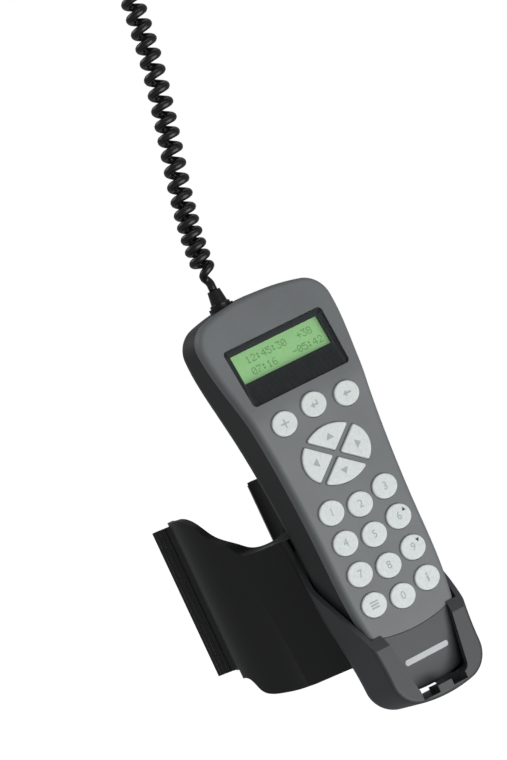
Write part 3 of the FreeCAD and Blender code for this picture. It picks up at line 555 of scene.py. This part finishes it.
@dataclass
class KeyLegends:
    """Pale grey signs printed on the key tops: digits, direction triangles and plain menu signs."""

    column: float = 15.6
    rows: Sequence[float] = (92.4, 77.0, 61.2, 45.7)
    middle_drop: float = 2.3
    top_mm: float = -1.3
    proud: float = 0.04
    digit_high: float = 3.9
    digits: Sequence[str] = ("1", "2", "3", "4", "5", "6", "7", "8", "9", "", "0", "")
    signs: dict[str, tuple[Glyph, float, float]] = field(default_factory=lambda: {
        "key_align": (Glyph.CROSS, -18.1, 138.8), "key_enter": (Glyph.ENTER, 0.0, 140.9),
        "key_undo": (Glyph.BACK, 18.1, 138.8), "key_up": (Glyph.UP, 0.0, 124.6),
        "key_down": (Glyph.DOWN, 0.0, 107.2), "key_left": (Glyph.LEFT, -12.2, 115.9),
        "key_right": (Glyph.RIGHT, 12.2, 115.9), "key_menu": (Glyph.BARS, -15.6, 45.7),
        "key_info": (Glyph.POINT, 15.6, 45.7)})

    def build(self, finish: bpy.types.Material, dark: bpy.types.Material) -> None:
        """Prints every key, and a small dark pointer beside the digits of two keys."""
        y = FOOT_MM[1] + self.top_mm
        for place, digit in enumerate(self.digits):
            if not digit:
                continue
            column, row = place % 3, place // 3
            x = FOOT_MM[0] + (column - 1) * self.column
            z = FOOT_MM[2] + self.rows[row] - (self.middle_drop if column == 1 else 0.0)
            body = "key_" + digit
            self.place(digit_piece("legend_" + digit, digit, x, y, z, self.digit_high, self.proud), body, finish)
        for body, (glyph, x, z) in self.signs.items():
            outlines = [[(a + x + FOOT_MM[0], b + z + FOOT_MM[2]) for a, b in outline] for outline in glyph.value]
            piece = prisms("legend_" + body.removeprefix("key_"), outlines, y - self.proud, self.proud)
            self.place(piece, body, finish)
        for digit, turn, row in (("6", 1, 1), ("9", -1, 2)):
            x, z = FOOT_MM[0] + self.column + 3.5, FOOT_MM[2] + self.rows[row] + 2.2
            outline = [(x - 1.0, z - 0.8 * turn), (x + 1.0, z - 0.8 * turn), (x, z + 1.0 * turn)][::turn]
            self.place(prisms("pointer_" + digit, [outline], y - self.proud, self.proud), "key_" + digit, dark)
        LOG.info("key legends: 19, pointers: 2")

    def place(self, piece: bpy.types.Object, body: str, finish: bpy.types.Material) -> None:
        """Prints one sign on its key."""
        dress(piece, finish)
        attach(piece, body)


@dataclass
class DotMatrix:
    """Two lines of sixteen five by seven dot characters on the display cell, showing plain numbers."""

    lines: Sequence[str] = ("  12:45:30  +38 ", "  07:16   -05:42")
    pitch: float = 2.95
    dot: float = 0.46
    gap: float = 0.05
    line_step: float = 5.9
    view_z: float = 170.3
    cell_y: float = 4.0
    lean_deg: float = 10.0
    bend_z: float = 146.0
    proud: float = 0.05

    FONT: ClassVar[dict[str, str]] = {
            "0": "0E11131519110E", "1": "040C040404040E", "2": "0E11010204081F", "3": "1F02040201110E",
            "4": "02060A121F0202", "5": "1F101E0101110E", "6": "0608101E11110E", "7": "1F010204080808",
            "8": "0E11110E11110E", "9": "0E11110F01020C", ":": "000C0C000C0C00", "+": "0004041F040400",
            "-": "0000001F000000", " ": "00000000000000"}

    def lit(self) -> np.ndarray:
        """Places of the lit dots: each row of a character is five bits of its code.

        Returns:
            N by 2 array of x and z in the display's plane, in millimetres.
        """
        step = self.dot + self.gap
        places = []
        for line, text in enumerate(self.lines):
            for column, sign in enumerate(text):
                rows = bytes.fromhex(self.FONT[sign])
                bits = np.array([[(row >> (4 - i)) & 1 for i in range(5)] for row in rows])
                z_row, x_col = np.nonzero(bits)
                x = (column - 7.5) * self.pitch + (x_col - 2) * step
                z = self.view_z + (0.5 - line) * self.line_step + (3 - z_row) * step
                places.append(np.column_stack([x, z]))
        return np.concatenate(places)

    def build(self, finish: bpy.types.Material) -> None:
        """Makes every lit dot a thin square on the cell, and leans them back with the head."""
        outlines = [bar(x, z, self.dot, self.dot) for x, z in self.lit()]
        dots = prisms("display_dots", outlines, self.cell_y - self.proud, self.proud)
        hinge = Matrix.Translation(Vector((0, 0, self.bend_z)) * MM)
        lean = hinge @ Matrix.Rotation(math.radians(-self.lean_deg), 4, "X") @ hinge.inverted()
        dots.data.transform(Matrix.Translation(Vector(FOOT_MM) * MM) @ lean)
        dress(dots, finish)
        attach(dots, "controller")
        LOG.info("display: %d dots", len(outlines))


# ==== studio ============================================================================================


@dataclass
class Lamp:
    """One soft square lamp: where it hangs, seen from the camera, its side in metres and its power in watts."""

    name: str
    direction: tuple[float, float, float]   # right, up and towards the camera
    side: float
    power: float


@dataclass
class Studio:
    """Plain pale studio, and the camera in front and to the left of the keys, rolled so the leg leans."""

    azimuth: float = -28.0
    elevation: float = 2.4
    roll: float = 25.0
    distance: float = 2.8
    field_high: float = 0.352
    aim_mm: tuple[float, float, float] = (10.0, -60.0, 94.0)
    floor_z: float = -1.3
    floor_half: float = 25.0
    room_light: float = 0.28
    lamp_distance: float = 1.5
    lamps: Sequence[Lamp] = (
        Lamp("key_lamp", (0.95, -0.2, 0.85), 1.4, 21.0), Lamp("top_lamp", (-0.2, 1.0, 0.3), 0.9, 2.5),
        Lamp("edge_lamp", (-0.9, 0.35, -0.15), 0.9, 5.0))

    def axes(self) -> tuple[Vector, Vector, Vector]:
        """The camera's right, up and backward directions.

        Returns:
            Three unit vectors: the up axis is turned so that the leg leans to the upper left.
        """
        a, e, r = (math.radians(x) for x in (self.azimuth, self.elevation, self.roll))
        back = Vector((math.sin(a) * math.cos(e), -math.cos(a) * math.cos(e), math.sin(e)))
        right = Vector((0, 0, 1)).cross(back).normalized()
        up = back.cross(right)
        turned_up = up * math.cos(r) + right * math.sin(r)
        return turned_up.cross(back).normalized(), turned_up.normalized(), back

    def camera(self) -> None:
        """Places the camera."""
        right, up, back = self.axes()
        data = bpy.data.cameras.new("camera")
        data.sensor_width = 24.0        # of the long side, which is the height
        data.lens = data.sensor_width * self.distance / self.field_high
        data.clip_end = 80.0
        camera = bpy.data.objects.new("camera", data)
        spot = Vector(self.aim_mm) * MM + back * self.distance
        camera.matrix_world = Matrix((
            (right.x, up.x, back.x, spot.x), (right.y, up.y, back.y, spot.y), (right.z, up.z, back.z, spot.z),
            (0, 0, 0, 1)))
        bpy.context.scene.collection.objects.link(camera)
        bpy.context.scene.camera = camera

    def hang(self, lamp: Lamp) -> None:
        """Hangs one lamp, turned to the object."""
        right, up, back = self.axes()
        data = bpy.data.lights.new(lamp.name, "AREA")
        data.size = lamp.side
        data.energy = lamp.power
        holder = bpy.data.objects.new(lamp.name, data)
        way = (right * lamp.direction[0] + up * lamp.direction[1] + back * lamp.direction[2]).normalized()
        holder.location = Vector(self.aim_mm) * MM + way * self.lamp_distance
        holder.rotation_euler = way.to_track_quat("Z", "Y").to_euler()
        bpy.context.scene.collection.objects.link(holder)

    def room(self) -> None:
        """A white room that is seen brighter than it lights, so dark plastic keeps its depth."""
        world = bpy.data.worlds.new("pale_room")
        world.use_nodes = True
        tree = world.node_tree
        tree.nodes.clear()
        seen = add_node(tree, "ShaderNodeBackground", {"Color": (1.0, 1.0, 1.0, 1.0), "Strength": 1.0})
        lit = add_node(tree, "ShaderNodeBackground", {"Color": (0.96, 0.98, 1.0, 1.0), "Strength": self.room_light})
        path = tree.nodes.new("ShaderNodeLightPath")
        mix = tree.nodes.new("ShaderNodeMixShader")
        tree.links.new(path.outputs["Is Camera Ray"], mix.inputs[0])
        tree.links.new(lit.outputs[0], mix.inputs[1])
        tree.links.new(seen.outputs[0], mix.inputs[2])
        add_node(tree, "ShaderNodeOutputWorld", links={"Surface": mix.outputs[0]})
        bpy.context.scene.world = world

    def build(self) -> None:
        """Sets the room, the floor, the lamps and the camera."""
        bpy.context.scene.view_settings.view_transform = "Standard"
        self.room()
        corners = np.array([[-1, -1], [1, -1], [1, 1], [-1, 1]]) * self.floor_half
        floor = mesh_piece("floor", np.column_stack([corners, np.full(4, self.floor_z)]), [[0, 1, 2, 3]],
                           smooth=False)
        dress(floor, Print("pale_floor", "F4F4F4", roughness=0.9, glow=0.88).material())
        floor.visible_diffuse = floor.visible_glossy = False      # its paleness is seen, and doesn't light the object
        for lamp in self.lamps:
            self.hang(lamp)
        self.camera()


# ==== build =============================================================================================


def dress_nodes(finishes: dict[str, bpy.types.Material]) -> None:
    """Gives every CAD node the finish of its slot in the record, and the nose and the cradle lighter charcoal copies
    of the black ABS: painted light where the lamps fall on them.
    """
    for row in frame["record"]["subparts"]:
        dress(frame["nodes"][row["node"]], finishes[row["material_slot"]])
    # painted light: the nose and the cradle wear lighter charcoal copies of the black ABS, for the lamps that fall on
    # them
    dress(frame["nodes"]["nose_cover"], finishes["nose"])
    dress(frame["nodes"]["cradle"], finishes["cradle"])


def make_finishes() -> dict[str, bpy.types.Material]:
    """Builds one material for each slot of the record, and a few more.

    Returns:
        The materials by slot name.
    """
    recipes = {
        # ABS straight from the mould: black and a little glossy, so long soft highlights follow the bends
        "bracket": MouldedPlastic("black_abs", "121213", roughness=0.36, grit_mm=0.5, depth=0.3),
        "case": MouldedPlastic("black_case_abs", "141516", roughness=0.42, grit_mm=0.45, depth=0.35),
        # the same black ABS with a coarser grain, painted lighter as charcoal: painted light for the lamps that fall
        # on the cradle and the nose
        "cradle": MouldedPlastic("painted_lit_cradle_abs", "37383A", roughness=0.46, grit_mm=0.5, depth=0.4),
        "nose": MouldedPlastic("painted_lit_nose_abs", "343739", roughness=0.45, grit_mm=0.45, depth=0.35),
        # coloured grey in the mass, with the coarsest grain: the face looks even and dull beside the keys
        "face": MouldedPlastic("grey_abs", "66696A", roughness=0.5, grit_mm=0.6, depth=0.6, mottle=0.09),
        # silk-screened and pad-printed inks: flat, with a slightly uneven edge of colour
        "badge": Print("badge_print", "BFC3C4"),
        "legend": Print("legend_ink", "A9AEAF"),
        "mark": Print("mark_ink", "3A3D3F"),
        "mask": Print("window_mask", "2B2E30", roughness=0.4),
        # moulded silicone rubber: pale and satin, with soft shadows in it
        "key": Silicone("key_silicone", "D6DCDA"),
        "mat": Silicone("mat_silicone", "C8CCCA"),
        # cast acrylic and moulded polycarbonate: seen through, bright only where they mirror
        "lens": ClearAcrylic("window_acrylic"),
        "plug": ClearAcrylic("clear_polycarbonate", roughness=0.08),
        # backlit liquid crystal behind its polariser: an even green, and darker green where a dot is on
        "lcd": Print("display_cell", "94C086", roughness=0.3, glow=0.44),
        "dots": Print("display_crystal", "6C9A62", roughness=0.3, glow=0.22),
        "light_guide": Print("light_guide", "A8C890"),
        # plated metals: streaked by rolling, so the highlight spreads one way
        "steel": Metal("zinc_plate", "B9BBBD"),
        "gold": Metal("gold_plate", "D9A441", roughness=0.2),
        # parts inside: lacquered board, moulded epoxy, pressed carbon pills, amber polyimide film
        "board": Print("solder_mask", "1F5A32", roughness=0.35),
        "chip": MouldedPlastic("epoxy", "222222"),
        "contact": MouldedPlastic("carbon_pill", "1A1A1A"),
        "ribbon": Print("polyimide", "B07A35", roughness=0.35),
        # extruded PVC: smooth and glossy, so every curl catches a thin highlight
        "cord": MouldedPlastic("cord_jacket", "0F0F10", roughness=0.3, grit_mm=0.35, depth=0.08),
    }
    return {slot: recipe.material() for slot, recipe in recipes.items()}


def main() -> None:
    """Builds the studio, the finishes and the pieces in order."""
    logging.basicConfig(level=logging.INFO, format="%(message)s")
    Studio().build()
    finishes = make_finishes()
    dress_nodes(finishes)
    CurlyCord().build(finishes["cord"])
    KeyLegends().build(finishes["legend"], finishes["mark"])
    DotMatrix().build(finishes["dots"])


if __name__ == "__main__":
    main()
